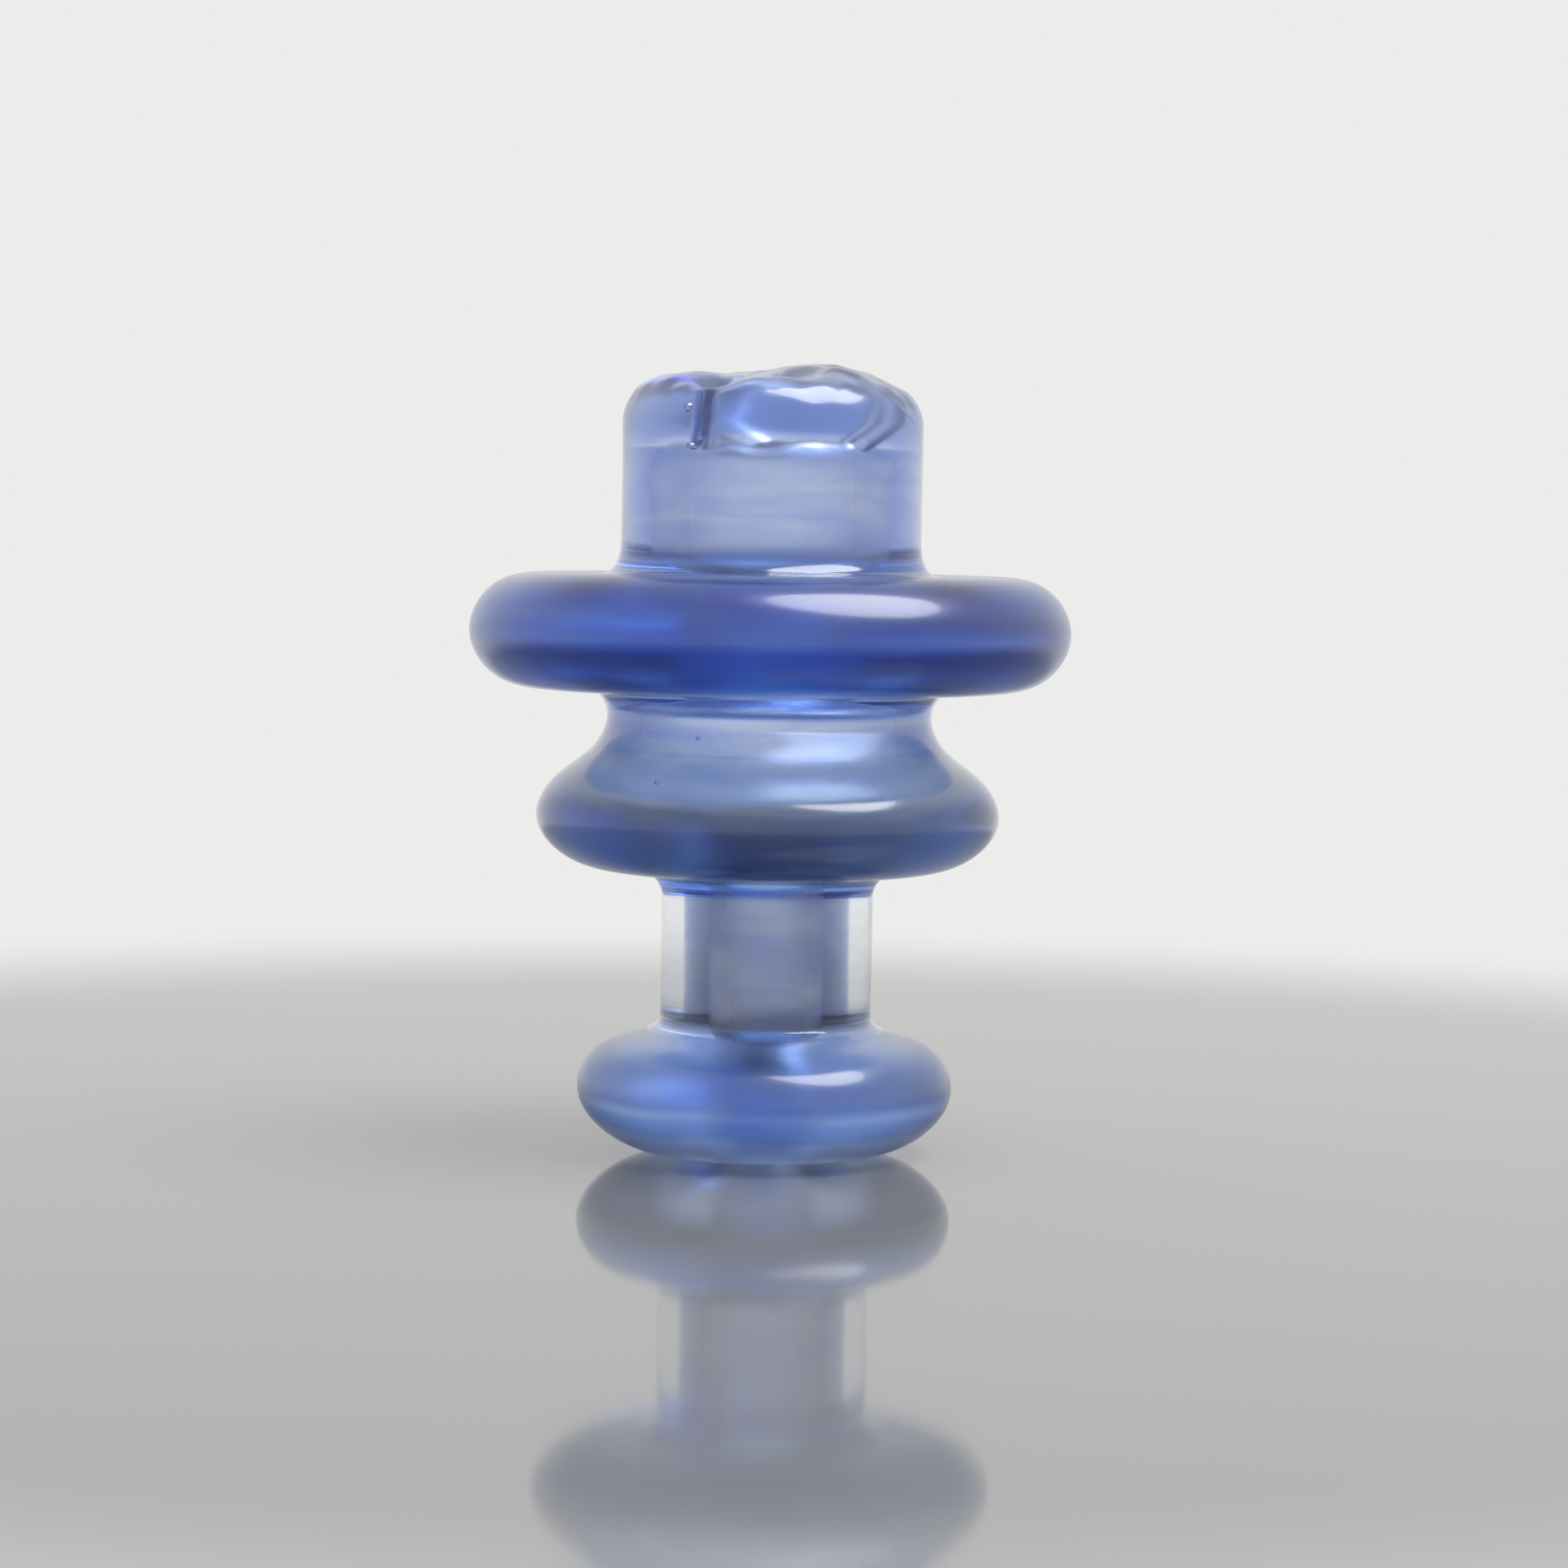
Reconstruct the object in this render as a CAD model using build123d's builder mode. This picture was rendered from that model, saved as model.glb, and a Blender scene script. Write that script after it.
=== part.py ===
from build123d import *
import os
from math import cos, radians, sin

# A flame-worked glass spinner cap, standing upside down on its knob.
# The glass is in two layers, clear outside and blue inside, around one air way.
# Millimetres, +Z up, origin at the centre of the small ring the cap stands on.
# The cap is round about Z, apart from the lumpy jet end and its three slanted jets.

# Heights of the planes where one glass section ends and the next begins
KNOB_TOP = 6.2
STEM_TOP = 14.0
COLLAR_TOP = 19.9
WAIST_TOP = 23.0
FLANGE_TOP = 29.2
CUP_TOP = 35.2
END_TOP = 38.6

# Outer radii
FOOT_RADIUS = 2.9
KNOB_RADIUS = 9.4
STEM_RADIUS = 5.3
COLLAR_RADIUS = 11.55
WAIST_RADIUS = 8.1
FLANGE_RADIUS = 15.0
CUP_RADIUS = 7.5

# Heights of the widest and narrowest places
KNOB_LEVEL = 3.35
COLLAR_LEVEL = 16.9
WAIST_LEVEL = 21.9
FLANGE_LEVEL = 26.1

# The straight stretches, which a mating part can slide along
STEM_STRAIGHT = (7.0, 12.9)
CUP_STRAIGHT = (30.6, 36.3)

# Blue layer: how thick it is on the air way, and how far it reaches into each bulge
LINING_STEM = 0.85
LINING_WAIST = 0.8
LINING_CUP = 1.15
KNOB_CORE_RADIUS = 8.5
COLLAR_CORE_RADIUS = 10.3
FLANGE_CORE_RADIUS = 13.4
END_CORE_RADIUS = 6.1
END_CORE_TOP = 37.9
COLOUR_START = 1.3

# Air way
INLET_RADIUS = 1.95
INLET_END = 15.0
BELL_RADIUS = 9.3
NECK_RADIUS = 6.2
PINCH_RADIUS = 3.0
CUP_BORE_RADIUS = 4.1
CHAMBER_CEILING = 35.4

# Jets: slanted holes from the chamber's ceiling to the shoulder of the jet end
JET_COUNT = 3
JET_RADIUS = 0.55
JET_START_RADIUS = 2.8
JET_START_HEIGHT = 34.4
JET_PHASE = 200.0
JET_LENGTH = 12.0
JET_OUTWARD = 0.30
JET_SIDEWAYS = 0.70
JET_UPWARD = 0.65

# Lobes that stand out of the jet end: direction about Z, distance, top and radius
LOBES = ((-25.0, 3.4, 39.4, 3.3), (115.0, 3.2, 39.1, 3.4), (205.0, 3.4, 38.95, 3.5))

# Room past the glass for the cutting slabs
MARGIN = 5.0

UP = (0, 1)
OUT = (1, 0)
IN = (-1, 0)

os.makedirs("parts", exist_ok=True)


# ---------------------------------------------------------------- whole forms
# The clear glass's outside, the blue glass's outside and the air way are each
# one continuous turned form. The sections below are slices of them.

with BuildPart() as outer_form:
    with BuildSketch(Plane.XZ):
        with BuildLine():
            foot = Line((0, 0), (FOOT_RADIUS, 0))
            knob_under = Spline(
                foot @ 1,
                (7.6, 0.85),
                (KNOB_RADIUS, KNOB_LEVEL),
                tangents=[(1, 0.05), UP],
            )
            knob_over = Spline(
                knob_under @ 1,
                (8.75, 5.0),
                (7.2, 5.85),
                (STEM_RADIUS, STEM_STRAIGHT[0]),
                tangents=[UP, UP],
            )
            stem = Line(knob_over @ 1, (STEM_RADIUS, STEM_STRAIGHT[1]))
            stem_flare = Spline(
                stem @ 1,
                (STEM_RADIUS + 0.45, STEM_TOP - 0.15),
                (7.2, STEM_TOP + 0.15),
                tangents=[UP, (1, 0.08)],
            )
            collar_under = Spline(
                stem_flare @ 1,
                (9.85, 14.72),
                (COLLAR_RADIUS, COLLAR_LEVEL),
                tangents=[(1, 0.08), UP],
            )
            collar_over = Spline(
                collar_under @ 1,
                (10.75, 18.65),
                (8.75, 20.35),
                (WAIST_RADIUS, WAIST_LEVEL),
                tangents=[UP, UP],
            )
            waist_flare = Spline(
                collar_over @ 1,
                (WAIST_RADIUS + 0.4, 22.85),
                (10.4, 23.2),
                tangents=[UP, OUT],
            )
            flange_under = Spline(
                waist_flare @ 1,
                (13.6, 23.75),
                (FLANGE_RADIUS, FLANGE_LEVEL),
                tangents=[OUT, UP],
            )
            flange_over = Spline(
                flange_under @ 1,
                (13.75, 28.35),
                (10.6, 28.95),
                tangents=[UP, IN],
            )
            cup_flare = Spline(
                flange_over @ 1,
                (CUP_RADIUS + 0.35, FLANGE_TOP),
                (CUP_RADIUS, CUP_STRAIGHT[0]),
                tangents=[IN, UP],
            )
            cup = Line(cup_flare @ 1, (CUP_RADIUS, CUP_STRAIGHT[1]))
            shoulder = Spline(
                cup @ 1,
                (6.75, 38.0),
                (4.6, END_TOP),
                tangents=[UP, IN],
            )
            end_face = Line(shoulder @ 1, (0, END_TOP))
            Line(end_face @ 1, (0, 0))
        make_face()
    revolve(axis=Axis.Z)
    for direction, distance, top, radius in LOBES:
        lobe_x = distance * cos(radians(direction))
        lobe_y = distance * sin(radians(direction))
        with Locations((lobe_x, lobe_y, top - radius)):
            Sphere(radius)

with BuildPart() as air_way:
    with BuildSketch(Plane.XZ):
        with BuildLine():
            mouth = Line((0, 0), (INLET_RADIUS, 0))
            inlet = Line(mouth @ 1, (INLET_RADIUS, INLET_END))
            bell = Spline(
                inlet @ 1,
                (3.6, 16.05),
                (8.0, 16.6),
                (BELL_RADIUS, 17.5),
                (8.4, 18.9),
                (6.8, 20.4),
                (NECK_RADIUS, WAIST_LEVEL),
                tangents=[UP, UP],
            )
            pinch_low = Spline(
                bell @ 1,
                (5.0, 23.6),
                (PINCH_RADIUS, FLANGE_LEVEL),
                tangents=[UP, UP],
            )
            pinch_high = Spline(
                pinch_low @ 1,
                (CUP_BORE_RADIUS, FLANGE_TOP + 0.5),
                tangents=[UP, UP],
            )
            chamber = Line(pinch_high @ 1, (CUP_BORE_RADIUS, CHAMBER_CEILING - 0.9))
            ceiling_edge = ThreePointArc(
                chamber @ 1,
                (CUP_BORE_RADIUS - 0.26, CHAMBER_CEILING - 0.26),
                (CUP_BORE_RADIUS - 0.9, CHAMBER_CEILING),
            )
            ceiling = Line(ceiling_edge @ 1, (0, CHAMBER_CEILING))
            Line(ceiling @ 1, (0, 0))
        make_face()
    revolve(axis=Axis.Z)

with BuildPart() as colour_form:
    with BuildSketch(Plane.XZ):
        with BuildLine():
            rim = Line((0, COLOUR_START), (INLET_RADIUS + LINING_STEM, COLOUR_START))
            knob_low = Spline(
                rim @ 1,
                (6.6, 2.0),
                (KNOB_CORE_RADIUS, KNOB_LEVEL + 0.2),
                tangents=[OUT, UP],
            )
            knob_high = Spline(
                knob_low @ 1,
                (7.5, 4.9),
                (INLET_RADIUS + LINING_STEM, KNOB_TOP + 0.8),
                tangents=[UP, UP],
            )
            stem_blue = Line(knob_high @ 1, (INLET_RADIUS + LINING_STEM, STEM_TOP - 0.8))
            collar_low = Spline(
                stem_blue @ 1,
                (5.2, 14.75),
                (9.4, 15.4),
                (COLLAR_CORE_RADIUS, COLLAR_LEVEL),
                tangents=[UP, UP],
            )
            collar_high = Spline(
                collar_low @ 1,
                (9.4, 18.9),
                (7.7, 20.4),
                (NECK_RADIUS + LINING_WAIST, WAIST_LEVEL),
                tangents=[UP, UP],
            )
            flange_low = Spline(
                collar_high @ 1,
                (8.6, 23.9),
                (FLANGE_CORE_RADIUS, FLANGE_LEVEL),
                tangents=[UP, UP],
            )
            flange_high = Spline(
                flange_low @ 1,
                (9.6, 27.6),
                (CUP_BORE_RADIUS + LINING_CUP, FLANGE_TOP + 0.6),
                tangents=[UP, UP],
            )
            cup_blue = Line(flange_high @ 1, (CUP_BORE_RADIUS + LINING_CUP, CUP_TOP - 0.6))
            crown = Spline(
                cup_blue @ 1,
                (END_CORE_RADIUS, CUP_TOP + 1.2),
                (5.4, END_CORE_TOP - 0.45),
                (3.2, END_CORE_TOP),
                tangents=[UP, IN],
            )
            crown_top = Line(crown @ 1, (0, END_CORE_TOP))
            Line(crown_top @ 1, rim @ 0)
        make_face()
    revolve(axis=Axis.Z)

with BuildPart() as jet_holes:
    for number in range(JET_COUNT):
        turn = Plane(Location((0, 0, 0), (0, 0, JET_PHASE + 360.0 * number / JET_COUNT)))
        start = turn.from_local_coords(Vector(JET_START_RADIUS, 0, JET_START_HEIGHT))
        heading = Vector(JET_OUTWARD, JET_SIDEWAYS, JET_UPWARD)
        slant = Plane(origin=start, z_dir=turn.from_local_coords(heading))
        with BuildSketch(slant):
            Circle(JET_RADIUS)
        extrude(amount=JET_LENGTH)


# ------------------------------------------------------------- glass sections
# Each section has a clear casing and a blue inner layer, cut from the forms
# between two level planes. Neighbours meet face to face, as fused glass does.

SECTIONS = (
    ("knob_casing", "knob_core", -MARGIN, KNOB_TOP),
    ("stem_casing", "stem_lining", KNOB_TOP, STEM_TOP),
    ("collar_casing", "collar_core", STEM_TOP, COLLAR_TOP),
    ("waist_casing", "waist_lining", COLLAR_TOP, WAIST_TOP),
    ("flange_casing", "flange_core", WAIST_TOP, FLANGE_TOP),
    ("cup_casing", "cup_lining", FLANGE_TOP, CUP_TOP),
    ("jet_end_casing", "jet_end_core", CUP_TOP, END_TOP + MARGIN),
)
SLAB_WIDTH = 2 * FLANGE_RADIUS + MARGIN
ON_BASE = (Align.CENTER, Align.CENTER, Align.MIN)

for casing_name, inner_name, low, high in SECTIONS:
    with BuildPart() as casing:
        add(outer_form.part)
        with Locations((0, 0, low)):
            Box(SLAB_WIDTH, SLAB_WIDTH, high - low, align=ON_BASE, mode=Mode.INTERSECT)
        add(colour_form.part, mode=Mode.SUBTRACT)
        add(air_way.part, mode=Mode.SUBTRACT)
        add(jet_holes.part, mode=Mode.SUBTRACT)
    casing.part.label = casing_name
    export_step(casing.part, f"parts/{casing_name}.step")

    with BuildPart() as inner:
        add(colour_form.part)
        with Locations((0, 0, low)):
            Box(SLAB_WIDTH, SLAB_WIDTH, high - low, align=ON_BASE, mode=Mode.INTERSECT)
        add(air_way.part, mode=Mode.SUBTRACT)
        add(jet_holes.part, mode=Mode.SUBTRACT)
    inner.part.label = inner_name
    export_step(inner.part, f"parts/{inner_name}.step")
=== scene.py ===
import math
import random

import bmesh
import bpy
import numpy as np
from mathutils import Matrix, Vector, noise


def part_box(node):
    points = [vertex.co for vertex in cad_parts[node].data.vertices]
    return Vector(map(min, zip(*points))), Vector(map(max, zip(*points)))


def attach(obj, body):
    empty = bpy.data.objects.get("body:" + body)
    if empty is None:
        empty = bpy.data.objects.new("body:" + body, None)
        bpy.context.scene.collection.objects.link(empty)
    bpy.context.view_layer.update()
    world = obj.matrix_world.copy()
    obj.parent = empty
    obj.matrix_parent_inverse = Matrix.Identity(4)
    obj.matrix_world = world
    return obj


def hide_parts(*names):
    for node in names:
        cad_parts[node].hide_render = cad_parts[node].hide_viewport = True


# A flame-worked glass spinner cap. The clear glass is one fused body with one smooth skin,
# so its casings are shown as one piece. The blue layers stay one piece per section.
# Outlines are in millimetres, as (radius, height) pairs, and meshes in metres.

MM = 0.001
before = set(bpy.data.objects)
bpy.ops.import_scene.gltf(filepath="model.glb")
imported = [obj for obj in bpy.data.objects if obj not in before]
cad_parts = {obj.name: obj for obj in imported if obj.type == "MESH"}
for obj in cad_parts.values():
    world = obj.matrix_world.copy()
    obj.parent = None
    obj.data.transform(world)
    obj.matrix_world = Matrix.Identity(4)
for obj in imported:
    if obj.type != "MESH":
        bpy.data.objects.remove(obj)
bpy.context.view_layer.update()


def box_mm(node):
    """A node's lowest and highest corners in millimetres."""
    low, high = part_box(node)
    return Vector(low) / MM, Vector(high) / MM


def reach(node):
    """A round node's outer radius in millimetres."""
    low, high = box_mm(node)
    return (high.x - low.x) / 2


# Heights of the joint planes and the widest radii, all read from the frame
KNOB_TOP = box_mm("knob_casing")[1].z
STEM_TOP = box_mm("stem_casing")[1].z
COLLAR_TOP = box_mm("collar_casing")[1].z
WAIST_TOP = box_mm("waist_casing")[1].z
FLANGE_TOP = box_mm("flange_casing")[1].z
CUP_TOP = box_mm("cup_casing")[1].z
TOP = box_mm("jet_end_casing")[1].z
KNOB_RADIUS = reach("knob_casing")
COLLAR_RADIUS = reach("collar_casing")
FLANGE_RADIUS = reach("flange_casing")
CUP_RADIUS = reach("jet_end_casing")
KNOB_CORE_RADIUS = reach("knob_core")
COLLAR_CORE_RADIUS = reach("collar_core")
FLANGE_CORE_RADIUS = reach("flange_core")

FOOT_RADIUS = 2.9
STEM_RADIUS = 5.3
WAIST_RADIUS = 8.1
END_LEVEL = TOP - 0.8
KNOB_LEVEL = 3.35
COLLAR_LEVEL = 16.9
WAIST_LEVEL = 21.9
FLANGE_LEVEL = 26.1

INLET_RADIUS = 1.95
INLET_END = 15.0
BELL_RADIUS = 9.3
NECK_RADIUS = 6.2
PINCH_RADIUS = 3.0
CUP_BORE_RADIUS = 4.1
CEILING = CUP_TOP + 0.2
LINING_STEM = 0.85
LINING_WAIST = 0.8
LINING_CUP = 1.15
COLOUR_START = 1.3
END_CORE_RADIUS = 6.1
END_CORE_TOP = box_mm("jet_end_core")[1].z
# Blue layers stand this far from each other and the bore, since touching volumes render black
LAYER_GAP = 0.03
# Farther out than this the skin belongs to the collar or the flange
BULGE_EDGE = 8.9

UP = (0, 1)
OUT = (1, 0)
IN = (-1, 0)
SPOKES = 192


# ------------------------------------------------------------------ outlines


def curve(points, start, end, step=0.16):
    """A smooth line through points that leaves along start and arrives along end."""
    points = np.array(points, float)
    start = np.array(start) / np.linalg.norm(start)
    end = np.array(end) / np.linalg.norm(end)
    gaps = np.linalg.norm(np.diff(points, axis=0), axis=1)
    count = len(points)
    slopes = np.zeros((count, 2))
    matrix = np.eye(count)
    slopes[0], slopes[-1] = start, end
    for i in range(1, count - 1):
        before, after = gaps[i - 1], gaps[i]
        matrix[i, i - 1:i + 2] = (after, 2 * (before + after), before)
        rise_before = (points[i] - points[i - 1]) / before
        rise_after = (points[i + 1] - points[i]) / after
        slopes[i] = 3 * (after * rise_before + before * rise_after)
    slopes = np.linalg.solve(matrix, slopes)
    line = [points[0]]
    for i in range(count - 1):
        pieces = max(3, int(gaps[i] / step))
        for t in np.linspace(0, 1, pieces + 1)[1:]:
            near = (1 + 2 * t) * (1 - t) ** 2 * points[i] + t * (1 - t) ** 2 * gaps[i] * slopes[i]
            far = t * t * (3 - 2 * t) * points[i + 1] + t * t * (t - 1) * gaps[i] * slopes[i + 1]
            line.append(near + far)
    return [tuple(p) for p in line]


def straight(start, end, step=0.35):
    """Even points from start to end."""
    length = math.dist(start, end)
    pieces = max(2, int(length / step))
    return [tuple(np.array(start) + (np.array(end) - start) * t) for t in np.linspace(0, 1, pieces + 1)]


def chain(*stretches):
    """Stretches joined end to end, without doubled points."""
    line = list(stretches[0])
    for stretch in stretches[1:]:
        line += stretch[1:]
    return line


def outer_outline():
    """The clear glass's outside, from the foot to the middle of the jet end."""
    return chain(
        curve([(INLET_RADIUS, 0.35), (FOOT_RADIUS - 0.3, 0.0)], (0.3, -1), OUT),
        curve([(FOOT_RADIUS - 0.3, 0), (7.6, 0.85), (KNOB_RADIUS, KNOB_LEVEL)], (1, 0.05), UP),
        curve([(KNOB_RADIUS, KNOB_LEVEL), (8.75, 5.0), (7.2, 5.85), (STEM_RADIUS, 7.0)], UP, UP),
        straight((STEM_RADIUS, 7.0), (STEM_RADIUS, 12.9)),
        curve([(STEM_RADIUS, 12.9), (STEM_RADIUS + 0.45, STEM_TOP - 0.15),
               (7.2, STEM_TOP + 0.15)], UP, (1, 0.08)),
        curve([(7.2, STEM_TOP + 0.15), (9.85, 14.72), (COLLAR_RADIUS, COLLAR_LEVEL)], (1, 0.08), UP),
        curve([(COLLAR_RADIUS, COLLAR_LEVEL), (10.75, 18.65), (8.75, 20.35),
               (WAIST_RADIUS, WAIST_LEVEL)], UP, UP),
        curve([(WAIST_RADIUS, WAIST_LEVEL), (WAIST_RADIUS + 0.4, 22.85), (10.4, 23.2)], UP, OUT),
        curve([(10.4, 23.2), (13.6, 23.75), (FLANGE_RADIUS, FLANGE_LEVEL)], OUT, UP),
        curve([(FLANGE_RADIUS, FLANGE_LEVEL), (13.75, 28.35), (10.6, 28.95)], UP, IN),
        curve([(10.6, 28.95), (CUP_RADIUS + 0.35, FLANGE_TOP), (CUP_RADIUS, 30.6)], IN, UP),
        straight((CUP_RADIUS, 30.6), (CUP_RADIUS, 36.3)),
        curve([(CUP_RADIUS, 36.3), (6.75, 38.0), (4.6, END_LEVEL)], UP, IN),
        straight((4.6, END_LEVEL), (0, END_LEVEL)),
    )


def bore_outline():
    """The air way's wall, from the inlet to the middle of the chamber's ceiling."""
    return chain(
        straight((INLET_RADIUS, 0.35), (INLET_RADIUS, INLET_END)),
        curve([(INLET_RADIUS, INLET_END), (3.6, 16.05), (8.0, 16.6), (BELL_RADIUS, 17.5),
               (8.4, 18.9), (6.8, 20.4), (NECK_RADIUS, WAIST_LEVEL)], UP, UP),
        curve([(NECK_RADIUS, WAIST_LEVEL), (5.0, 23.6), (PINCH_RADIUS, FLANGE_LEVEL)], UP, UP),
        curve([(PINCH_RADIUS, FLANGE_LEVEL), (CUP_BORE_RADIUS, FLANGE_TOP + 0.5)], UP, UP),
        straight((CUP_BORE_RADIUS, FLANGE_TOP + 0.5), (CUP_BORE_RADIUS, CEILING - 0.9)),
        curve([(CUP_BORE_RADIUS, CEILING - 0.9), (CUP_BORE_RADIUS - 0.9, CEILING)], UP, IN),
        straight((CUP_BORE_RADIUS - 0.9, CEILING), (0, CEILING)),
    )


def colour_outline():
    """The blue glass's outside, from its lower rim to its crown over the chamber."""
    stem = INLET_RADIUS + LINING_STEM
    waist = NECK_RADIUS + LINING_WAIST
    cup = CUP_BORE_RADIUS + LINING_CUP
    return chain(
        curve([(stem, COLOUR_START), (6.6, 2.0), (KNOB_CORE_RADIUS, KNOB_LEVEL + 0.2)], OUT, UP),
        curve([(KNOB_CORE_RADIUS, KNOB_LEVEL + 0.2), (7.5, 4.9), (stem, KNOB_TOP + 0.8)], UP, UP),
        straight((stem, KNOB_TOP + 0.8), (stem, STEM_TOP - 0.8)),
        curve([(stem, STEM_TOP - 0.8), (5.2, 14.75), (9.4, 15.4),
               (COLLAR_CORE_RADIUS, COLLAR_LEVEL)], UP, UP),
        curve([(COLLAR_CORE_RADIUS, COLLAR_LEVEL), (9.4, 18.9), (7.7, 20.4), (waist, WAIST_LEVEL)],
              UP, UP),
        curve([(waist, WAIST_LEVEL), (8.6, 23.9), (FLANGE_CORE_RADIUS, FLANGE_LEVEL)], UP, UP),
        curve([(FLANGE_CORE_RADIUS, FLANGE_LEVEL), (9.6, 27.6), (cup, FLANGE_TOP + 0.6)], UP, UP),
        straight((cup, FLANGE_TOP + 0.6), (cup, CUP_TOP - 0.6)),
        curve([(cup, CUP_TOP - 0.6), (END_CORE_RADIUS, CUP_TOP + 1.2), (5.4, END_CORE_TOP - 0.45),
               (3.2, END_CORE_TOP)], UP, IN),
        straight((3.2, END_CORE_TOP), (0, END_CORE_TOP)),
    )


def radius_at(outline, height):
    """The outline's radius at a height, between its two nearest points."""
    for (r0, z0), (r1, z1) in zip(outline, outline[1:]):
        if min(z0, z1) <= height <= max(z0, z1) and z0 != z1:
            return r0 + (r1 - r0) * (height - z0) / (z1 - z0)
    return outline[-1][0]


def between(outline, low, high):
    """The outline's stretch from height low to height high, for an outline that only rises."""
    inside = [(r, z) for r, z in outline if low < z < high]
    first = (radius_at(outline, low), low)
    last = (radius_at(outline, high), high)
    return [first] + inside + [last]


# ------------------------------------------------------------ mesh making


def new_object(name, mesh):
    piece = bpy.data.objects.new(name, mesh)
    bpy.context.scene.collection.objects.link(piece)
    return piece


def spin(name, outline, closed, bend=None):
    """Turns an outline about Z. A closed one is a ring; an open one ends in two poles."""
    mesh = bpy.data.meshes.new(name)
    verts = []
    faces = []
    rings = []
    for r, z in outline:
        if r < 1e-6:
            rings.append([len(verts)])
            verts.append((0, 0, z))
            continue
        rings.append(list(range(len(verts), len(verts) + SPOKES)))
        for spoke in range(SPOKES):
            angle = 2 * math.pi * spoke / SPOKES
            verts.append((r * math.cos(angle), r * math.sin(angle), z))
    pairs = list(zip(rings, rings[1:]))
    if closed:
        pairs.append((rings[-1], rings[0]))
    for low, high in pairs:
        for spoke in range(SPOKES):
            after = (spoke + 1) % SPOKES
            if len(low) == 1:
                faces.append((low[0], high[after], high[spoke]))
            elif len(high) == 1:
                faces.append((low[spoke], low[after], high[0]))
            else:
                faces.append((low[spoke], low[after], high[after], high[spoke]))
    if bend:
        verts = [bend(Vector(v)) for v in verts]
    mesh.from_pydata([Vector(v) * MM for v in verts], [], faces)
    mesh.validate()
    tidy = bmesh.new()
    tidy.from_mesh(mesh)
    bmesh.ops.recalc_face_normals(tidy, faces=tidy.faces)
    tidy.to_mesh(mesh)
    tidy.free()
    mesh.shade_smooth()
    return new_object(name, mesh)


# How far the melted end may rise and stay in the CAD box
ROOM = 0.76

# Lumps of the melted end, in millimetres: middle x and y, height and spread
LUMPS = (
    (2.3, 0.4, 0.80, 2.9),
    (-3.0, 0.8, 0.25, 3.0),
    (-5.4, 0.0, 0.10, 1.6),
    (5.9, -2.2, -0.22, 1.7),
    (6.3, 1.2, -0.22, 1.8),
    (-2.7, -4.6, -0.90, 1.1),
    (0.9, -4.0, -0.45, 1.1),
    (3.2, -3.4, 0.35, 1.0),
)


def melt(point):
    """Handmade unevenness: a slow wobble everywhere and lumps on the jet end."""
    spot = Vector(point)
    wobble = noise.noise(spot * 0.13) * 0.06
    radius = math.hypot(spot.x, spot.y)
    if radius > 0.5:
        fade = min(1.0, spot.z / 1.5)
        shrink = 1 + (wobble - 0.035) * fade / max(radius, 3.0)
        spot.x *= shrink
        spot.y *= shrink
    share = min(1.0, max(0.0, (spot.z - 36.0) / 2.0))
    if share:
        rise = 0.0
        for x, y, height, spread in LUMPS:
            away = ((spot.x - x) ** 2 + (spot.y - y) ** 2) / spread ** 2
            rise += height * math.exp(-away)
        rise += 0.12 * noise.noise(Vector(point) * 0.9)
        spot.z += min(rise, ROOM) * share
    elif spot.z > CEILING - 1.2 and radius < CUP_BORE_RADIUS + 0.1:
        depth = min(1.0, (spot.z - CEILING + 1.2) / 1.2)
        spot.z += depth * (0.45 * noise.noise(Vector(point) * 0.55) - 0.15)
    return spot


def swell(point):
    """The blue crown follows the lumps above it, less strongly."""
    spot = Vector(point)
    share = 0.6 * min(1.0, max(0.0, (spot.z - 36.4) / 1.2))
    for x, y, height, spread in LUMPS:
        away = ((spot.x - x) ** 2 + (spot.y - y) ** 2) / spread ** 2
        spot.z += share * height * math.exp(-away)
    return spot


# Bubbles in the glass: place, half lengths and turn about Y, all but the last nearly round
BUBBLES = (
    ((-3.9, -5.3, 36.9), (0.24, 0.20, 0.20), 0),
    ((-3.7, -5.6, 35.1), (0.30, 0.18, 0.16), 15),
    ((-5.2, -8.3, 18.8), (0.14, 0.12, 0.14), 0),
    ((-3.3, -6.9, 21.0), (0.11, 0.10, 0.12), 0),
    ((6.0, -2.6, 36.8), (0.95, 0.09, 0.08), 24),
)
SEEDS = 26
SEED_SHUFFLE = 11


def add_bubbles(body):
    """Opens small closed hollows in the glass: the bubbles above and a scatter of fine seeds."""
    chance = random.Random(SEED_SHUFFLE)
    bubbles = list(BUBBLES)
    places = ((KNOB_LEVEL, 8.8), (COLLAR_LEVEL - 1.0, 10.6), (FLANGE_LEVEL, 14.3))
    for _ in range(SEEDS):
        level, reach_out = chance.choice(places)
        angle = chance.uniform(0, 2 * math.pi)
        distance = reach_out - chance.uniform(0.0, 1.4)
        size = chance.uniform(0.035, 0.075)
        height = level + chance.uniform(-1.0, 1.0)
        place = (distance * math.cos(angle), distance * math.sin(angle), height)
        bubbles.append((place, (size, size, size), 0))
    maker = bmesh.new()
    maker.from_mesh(body.data)
    for place, half, turn in bubbles:
        shape = (Matrix.Translation(Vector(place) * MM) @ Matrix.Rotation(math.radians(turn), 4, "Y")
                 @ Matrix.Diagonal((*(Vector(half) * MM), 1)))
        made = bmesh.ops.create_icosphere(maker, subdivisions=3, radius=1.0, matrix=shape)
        faces = {face for vert in made["verts"] for face in vert.link_faces}
        bmesh.ops.reverse_faces(maker, faces=list(faces))
        for face in faces:
            face.smooth = True
    maker.to_mesh(body.data)
    maker.free()


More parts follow.
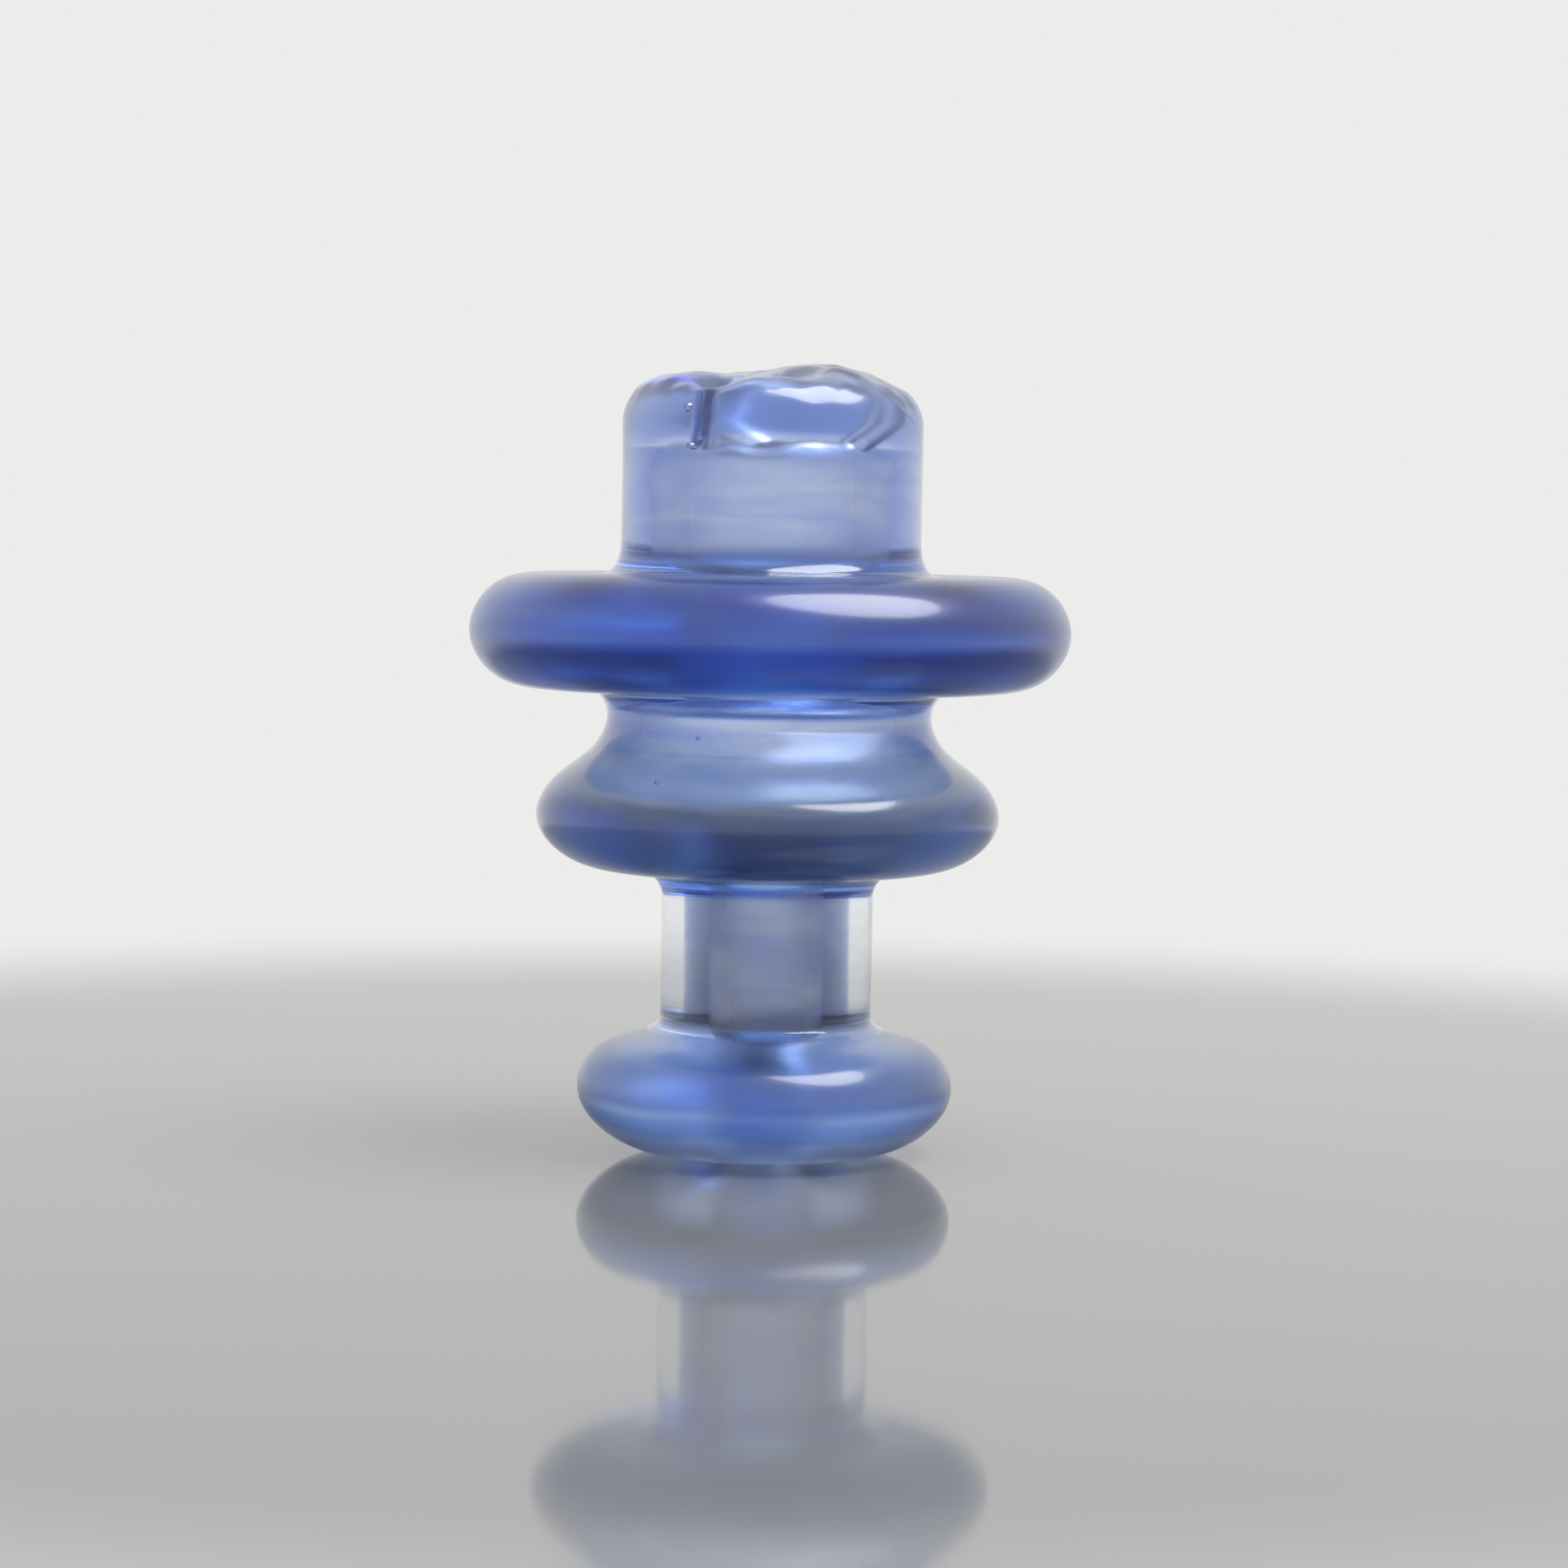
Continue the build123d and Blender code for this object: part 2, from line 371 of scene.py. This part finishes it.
# Jets: slanted holes from the chamber, evenly spaced about Z and widening slightly outward
JET_COUNT = 3
JET_PHASE = 200
JET_START = (2.8, 0, CUP_TOP - 0.8)
JET_HEADING = (0.30, 0.70, 0.65)
JET_RADIUS = 0.55
JET_MOUTH_RADIUS = 0.62
JET_LENGTH = 9.0


def jet_cutters():
    """Three slanted rods that open the jets from the chamber to the shoulder."""
    cutters = []
    for number in range(JET_COUNT):
        turn = Matrix.Rotation(math.radians(JET_PHASE + 360 / JET_COUNT * number), 4, "Z")
        start = turn @ Vector(JET_START)
        heading = turn @ Vector(JET_HEADING)
        maker = bmesh.new()
        bmesh.ops.create_cone(maker, cap_ends=True, segments=40, radius1=JET_RADIUS,
                              radius2=JET_MOUTH_RADIUS, depth=JET_LENGTH)
        aim = heading.to_track_quat("Z", "Y").to_matrix().to_4x4()
        place = Matrix.Translation((start + heading.normalized() * (JET_LENGTH / 2)) * MM)
        maker.transform(place @ aim @ Matrix.Scale(MM, 4))
        mesh = bpy.data.meshes.new("jet_cutter")
        maker.to_mesh(mesh)
        maker.free()
        cutters.append(new_object("jet_cutter", mesh))
    return cutters


def open_jets(pieces):
    """Cuts the jets through the given pieces, then throws the cutting rods away."""
    cutters = jet_cutters()
    for piece in pieces:
        for cutter in cutters:
            cut = piece.modifiers.new("jet", "BOOLEAN")
            cut.operation = "DIFFERENCE"
            cut.solver = "EXACT"
            cut.object = cutter
        graph = bpy.context.evaluated_depsgraph_get()
        whole = bpy.data.meshes.new_from_object(piece.evaluated_get(graph))
        piece.modifiers.clear()
        piece.data = whole
        whole.set_sharp_from_angle(angle=math.radians(38))
    for cutter in cutters:
        bpy.data.objects.remove(cutter)


# -------------------------------------------------------------- materials


def glass(name, tints, ior, absorb, density, streak, bump, rough):
    """Procedural glass: streaky tint, faint ripples and an even absorption inside."""
    material = bpy.data.materials.new(name)
    material.use_nodes = True
    nodes = material.node_tree.nodes
    links = material.node_tree.links
    shader = nodes["Principled BSDF"]
    shader.inputs["Transmission Weight"].default_value = 1.0
    shader.inputs["IOR"].default_value = ior
    where = nodes.new("ShaderNodeTexCoord")

    twist = nodes.new("ShaderNodeMapping")
    twist.inputs["Rotation"].default_value = (math.radians(streak[0]), math.radians(streak[1]), 0)
    twist.inputs["Scale"].default_value = (1.0, 1.0, streak[2])
    links.new(where.outputs["Object"], twist.inputs["Vector"])
    flow = nodes.new("ShaderNodeTexNoise")
    flow.inputs["Scale"].default_value = streak[3]
    flow.inputs["Detail"].default_value = 4.0
    flow.inputs["Distortion"].default_value = 0.8
    links.new(twist.outputs["Vector"], flow.inputs["Vector"])
    ramp = nodes.new("ShaderNodeValToRGB")
    ramp.color_ramp.elements[0].position = 0.38
    ramp.color_ramp.elements[1].position = 0.64
    ramp.color_ramp.elements[0].color = (*tints[0], 1)
    ramp.color_ramp.elements[1].color = (*tints[1], 1)
    links.new(flow.outputs["Fac"], ramp.inputs["Fac"])
    links.new(ramp.outputs["Color"], shader.inputs["Base Color"])

    haze = nodes.new("ShaderNodeMapRange")
    haze.inputs["To Min"].default_value = rough[0]
    haze.inputs["To Max"].default_value = rough[1]
    links.new(flow.outputs["Fac"], haze.inputs["Value"])
    links.new(haze.outputs["Result"], shader.inputs["Roughness"])

    ripple = nodes.new("ShaderNodeTexNoise")
    ripple.inputs["Scale"].default_value = bump[0]
    ripple.inputs["Detail"].default_value = 2.0
    links.new(where.outputs["Object"], ripple.inputs["Vector"])
    dent = nodes.new("ShaderNodeBump")
    dent.inputs["Strength"].default_value = bump[1]
    dent.inputs["Distance"].default_value = bump[2]
    links.new(ripple.outputs["Fac"], dent.inputs["Height"])
    links.new(dent.outputs["Normal"], shader.inputs["Normal"])

    inside = nodes.new("ShaderNodeVolumeAbsorption")
    inside.inputs["Color"].default_value = (*absorb, 1)
    inside.inputs["Density"].default_value = density
    output = nodes["Material Output"]
    links.new(inside.outputs["Volume"], output.inputs["Volume"])
    return material


# Tint of the clear skin by height in millimetres: swirled at the knob, deep under the collar,
# and deep below and above the flange's rim, where the deep bands around a pale rim are painted
# shade: the refraction of the surroundings painted into the skin
TINT_AND_SHADE_BANDS = (
    (1.5, (1.0, 1.0, 1.0)),
    (1.9, (0.40, 0.57, 0.88)),
    (2.5, (0.42, 0.58, 0.89)),
    (2.9, (0.90, 0.95, 1.0)),
    (3.4, (0.42, 0.58, 0.89)),
    (5.0, (0.50, 0.65, 0.92)),
    (5.7, (1.0, 1.0, 1.0)),
    (13.8, (1.0, 1.0, 1.0)),
    (14.4, (0.50, 0.76, 1.0)),
    (16.2, (0.55, 0.80, 1.0)),
    (16.8, (1.0, 1.0, 1.0)),
    # From here up: painted shade on the flange, deep bands below and above its rim and a pale rim
    # between
    (23.0, (1.0, 1.0, 1.0)),
    (23.5, (0.12, 0.32, 0.74)),
    (25.2, (0.10, 0.30, 0.72)),
    (25.7, (1.0, 1.0, 1.0)),
    (27.1, (0.96, 0.98, 1.0)),
    (27.5, (0.40, 0.60, 0.96)),
    (28.5, (0.52, 0.70, 0.96)),
    (29.0, (1.0, 1.0, 1.0)),
)
BAND_WAVE = 0.5

# Extra roughness of the skin, which softens what is seen through it
BORE_HAZE = 0.32
KNOB_HAZE = 0.20
COLLAR_HAZE = 0.08
FLANGE_HAZE = 0.20
END_HAZE = 0.13


def clear_glass():
    """The clear skin: banded with painted shade at the flange, and hazier where its mesh says so."""
    material = glass("clear_glass", ((0.93, 0.96, 1.0), (1.0, 1.0, 1.0)), 1.47,
                     absorb=(0.30, 0.55, 0.95), density=10.0, streak=(12, 0, 3.0, 170.0),
                     bump=(300.0, 0.10, 0.0002), rough=(0.08, 0.14))
    nodes = material.node_tree.nodes
    links = material.node_tree.links
    shader = nodes["Principled BSDF"]
    shader.inputs["Coat Weight"].default_value = 0.6
    shader.inputs["Coat Roughness"].default_value = 0.11
    shader.inputs["Coat IOR"].default_value = 1.47
    streaks = shader.inputs["Base Color"].links[0].from_socket
    smooth = shader.inputs["Roughness"].links[0].from_socket

    haze = nodes.new("ShaderNodeAttribute")
    haze.attribute_name = "haze"
    total = nodes.new("ShaderNodeMath")
    total.operation = "ADD"
    links.new(smooth, total.inputs[0])
    links.new(haze.outputs["Fac"], total.inputs[1])
    links.new(total.outputs["Value"], shader.inputs["Roughness"])

    where = nodes.new("ShaderNodeTexCoord")
    axes = nodes.new("ShaderNodeSeparateXYZ")
    links.new(where.outputs["Object"], axes.inputs["Vector"])
    level = nodes.new("ShaderNodeMapRange")
    wave = nodes.new("ShaderNodeTexNoise")
    wave.inputs["Scale"].default_value = 110.0
    links.new(where.outputs["Object"], wave.inputs["Vector"])
    lift = nodes.new("ShaderNodeMath")
    lift.operation = "MULTIPLY_ADD"
    lift.inputs[1].default_value = 2 * BAND_WAVE * MM
    links.new(wave.outputs["Fac"], lift.inputs[0])
    links.new(axes.outputs["Z"], lift.inputs[2])
    links.new(lift.outputs["Value"], level.inputs["Value"])
    level.inputs["From Min"].default_value = BAND_WAVE * MM
    level.inputs["From Max"].default_value = (TOP + BAND_WAVE) * MM
    # This ramp paints the height bands into the skin's colour, the flange's painted shade among them
    tint_and_shade_ramp = nodes.new("ShaderNodeValToRGB")
    ramp = tint_and_shade_ramp.color_ramp
    while len(ramp.elements) < len(TINT_AND_SHADE_BANDS):
        ramp.elements.new(0.5)
    for element, (height, tint) in zip(ramp.elements, TINT_AND_SHADE_BANDS):
        element.position = height / TOP
        element.color = (*tint, 1)
    links.new(level.outputs["Result"], tint_and_shade_ramp.inputs["Fac"])
    both = nodes.new("ShaderNodeMix")
    both.data_type = "RGBA"
    both.blend_type = "MULTIPLY"
    both.inputs["Factor"].default_value = 1.0
    colours = [socket for socket in both.inputs if socket.type == "RGBA"]
    links.new(streaks, colours[0])
    links.new(tint_and_shade_ramp.outputs["Color"], colours[1])
    mixed = [socket for socket in both.outputs if socket.type == "RGBA"]
    links.new(mixed[0], shader.inputs["Base Color"])
    return material


# What the blue glass lets through, as an absorption colour: thin and pale, thick and deep, greyed
PALE_BLUE = (0.10, 0.28, 0.73)
DEEP_BLUE = (0.02, 0.33, 0.79)
GREY_BLUE = (0.10, 0.20, 0.48)
END_BLUE = (0.10, 0.33, 0.78)


def blue_glass(name, absorb, density, lean):
    return glass(name, ((0.72, 0.79, 0.96), (1.0, 1.0, 1.0)), 1.0,
                 absorb=absorb, density=density, streak=(lean, lean, 5.0, 130.0),
                 bump=(300.0, 0.05, 0.0001), rough=(0.0, 0.02))


# ------------------------------------------------------------- the pieces


def build_clear_glass():
    outline = list(reversed(bore_outline())) + outer_outline()[1:]
    body = spin("clear_glass_body", outline, closed=False, bend=melt)
    body.data.materials.append(clear_glass())
    haze = body.data.attributes.new("haze", "FLOAT", "POINT")
    bore_verts = 1 + SPOKES * (len(bore_outline()) - 1)
    for vert, value in zip(body.data.vertices, haze.data):
        spot = vert.co / MM
        across = math.hypot(spot.x, spot.y)
        if vert.index < bore_verts:
            value.value = BORE_HAZE
        elif spot.z < KNOB_TOP:
            value.value = KNOB_HAZE
        elif across > BULGE_EDGE and spot.z < WAIST_LEVEL:
            value.value = COLLAR_HAZE
        elif across > BULGE_EDGE:
            value.value = FLANGE_HAZE
        elif spot.z > CUP_TOP - 1.5:
            value.value = END_HAZE * min(1.0, (spot.z - CUP_TOP + 1.5) / 3.0)
    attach(body, "root")
    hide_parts("knob_casing", "stem_casing", "collar_casing", "waist_casing",
                "flange_casing", "cup_casing", "jet_end_casing")
    return body


# Blue layers: node, lower and upper height, absorption, and how far its streaks lean
BLUE_LAYERS = (
    ("knob_core", COLOUR_START, KNOB_TOP, DEEP_BLUE, 50.0, 16),
    ("stem_lining", KNOB_TOP, STEM_TOP, GREY_BLUE, 430.0, 4),
    ("collar_core", STEM_TOP, COLLAR_TOP, DEEP_BLUE, 115.0, 6),
    ("waist_lining", COLLAR_TOP, WAIST_TOP, PALE_BLUE, 130.0, 8),
    ("flange_core", WAIST_TOP, FLANGE_TOP, DEEP_BLUE, 115.0, 3),
    ("cup_lining", FLANGE_TOP, CUP_TOP, PALE_BLUE, 200.0, 2),
)


def build_blue_glass():
    colour = colour_outline()
    bore = bore_outline()
    pieces = []
    for node, low, high, absorb, density, lean in BLUE_LAYERS:
        low, high = low + LAYER_GAP, high - LAYER_GAP
        outside = between(colour, low, high)
        inside = [(r + LAYER_GAP, z) for r, z in between(bore, low, high)]
        piece = spin("blue_" + node, outside + inside[::-1], closed=True)
        piece.data.materials.append(blue_glass(node + "_glass", absorb, density, lean))
        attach(piece, "root")
        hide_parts(node)
        pieces.append(piece)
    return pieces


def build_blue_crown():
    """The blue layer over the chamber's ceiling, which the jets pass through."""
    colour = [(r, z) for r, z in colour_outline() if z > CUP_TOP + LAYER_GAP]
    rim = colour[0][0]
    under = [(0, CEILING + 0.55), (3.0, CEILING + 0.5), (4.15, CUP_TOP + 0.3),
             (CUP_BORE_RADIUS + 0.12, CUP_TOP + LAYER_GAP), (rim, CUP_TOP + LAYER_GAP)]
    crown = spin("blue_jet_end_core", under + colour, closed=False, bend=swell)
    crown.data.materials.append(blue_glass("jet_end_core_glass", END_BLUE, 145.0, 15))
    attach(crown, "root")
    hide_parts("jet_end_core")
    return crown


# ---------------------------------------------------------- stage and light


# Metres: the floor fades away between these distances from its middle
FLOOR_RADIUS = 0.16
FADE_START = 0.072
FADE_END = 0.118


def build_floor():
    bpy.ops.mesh.primitive_circle_add(vertices=128, radius=FLOOR_RADIUS, fill_type="NGON",
                                      location=(0, 0, 0))
    floor = bpy.context.object
    floor.name = "floor"
    material = bpy.data.materials.new("pale_table")
    material.use_nodes = True
    nodes = material.node_tree.nodes
    links = material.node_tree.links
    shader = nodes["Principled BSDF"]
    shader.inputs["Base Color"].default_value = (0.15, 0.15, 0.15, 1)
    shader.inputs["Roughness"].default_value = 0.06
    shader.inputs["IOR"].default_value = 1.5
    where = nodes.new("ShaderNodeTexCoord")
    flat = nodes.new("ShaderNodeVectorMath")
    flat.operation = "LENGTH"
    links.new(where.outputs["Object"], flat.inputs[0])
    fade = nodes.new("ShaderNodeMapRange")
    fade.interpolation_type = "SMOOTHSTEP"
    fade.inputs["From Min"].default_value = FADE_START
    fade.inputs["From Max"].default_value = FADE_END
    links.new(flat.outputs["Value"], fade.inputs["Value"])
    clear = nodes.new("ShaderNodeBsdfTransparent")
    mix = nodes.new("ShaderNodeMixShader")
    links.new(fade.outputs["Result"], mix.inputs["Fac"])
    links.new(shader.outputs["BSDF"], mix.inputs[1])
    links.new(clear.outputs["BSDF"], mix.inputs[2])
    links.new(mix.outputs["Shader"], nodes["Material Output"].inputs["Surface"])
    floor.data.materials.append(material)


# The softbox: size in metres, power in watts, and where it hangs seen from the cap
SOFTBOX_SIZE = (0.36, 0.40)
SOFTBOX_POWER = 3.0
SOFTBOX_AZIMUTH = 64
SOFTBOX_HEIGHT = 65
SOFTBOX_DISTANCE = 0.45


def build_light():
    world = bpy.data.worlds.new("studio")
    bpy.context.scene.world = world
    world.use_nodes = True
    world.node_tree.nodes["Background"].inputs["Color"].default_value = (0.84, 0.84, 0.83, 1)
    world.node_tree.nodes["Background"].inputs["Strength"].default_value = 1.0
    lamp = bpy.data.lights.new("softbox", "AREA")
    lamp.shape = "ELLIPSE"
    lamp.size, lamp.size_y = SOFTBOX_SIZE
    lamp.energy = SOFTBOX_POWER
    box = bpy.data.objects.new("softbox", lamp)
    bpy.context.scene.collection.objects.link(box)
    azimuth, height = math.radians(SOFTBOX_AZIMUTH), math.radians(SOFTBOX_HEIGHT)
    towards = Vector((math.sin(azimuth) * math.cos(height), -math.cos(azimuth) * math.cos(height),
                      math.sin(height)))
    middle = Vector((0, 0, 0.02))
    box.location = middle + towards * SOFTBOX_DISTANCE
    box.rotation_euler = towards.to_track_quat("Z", "Y").to_euler()


CAMERA_PLACE = (0.00078, -0.205, 0.031)
CAMERA_LENS = 94.6
CAMERA_PITCH = 3.49
CAMERA_ROLL = 0.0128


def build_camera():
    lens = bpy.data.cameras.new("camera")
    lens.sensor_width = 36.0
    lens.lens = CAMERA_LENS
    lens.clip_start = 0.005
    camera = bpy.data.objects.new("camera", lens)
    bpy.context.scene.collection.objects.link(camera)
    camera.location = CAMERA_PLACE
    pitch = math.radians(CAMERA_PITCH)
    aim = Matrix.Rotation(math.radians(90) - pitch, 4, "X") @ Matrix.Rotation(CAMERA_ROLL, 4, "Z")
    camera.rotation_euler = aim.to_euler()
    bpy.context.scene.camera = camera


body = build_clear_glass()
build_blue_glass()
crown = build_blue_crown()
open_jets([body, crown])
add_bubbles(body)
build_floor()
build_light()
build_camera()
bpy.context.scene.view_settings.view_transform = "Standard"
bpy.context.scene.cycles.max_bounces = 32
bpy.context.scene.cycles.transmission_bounces = 32
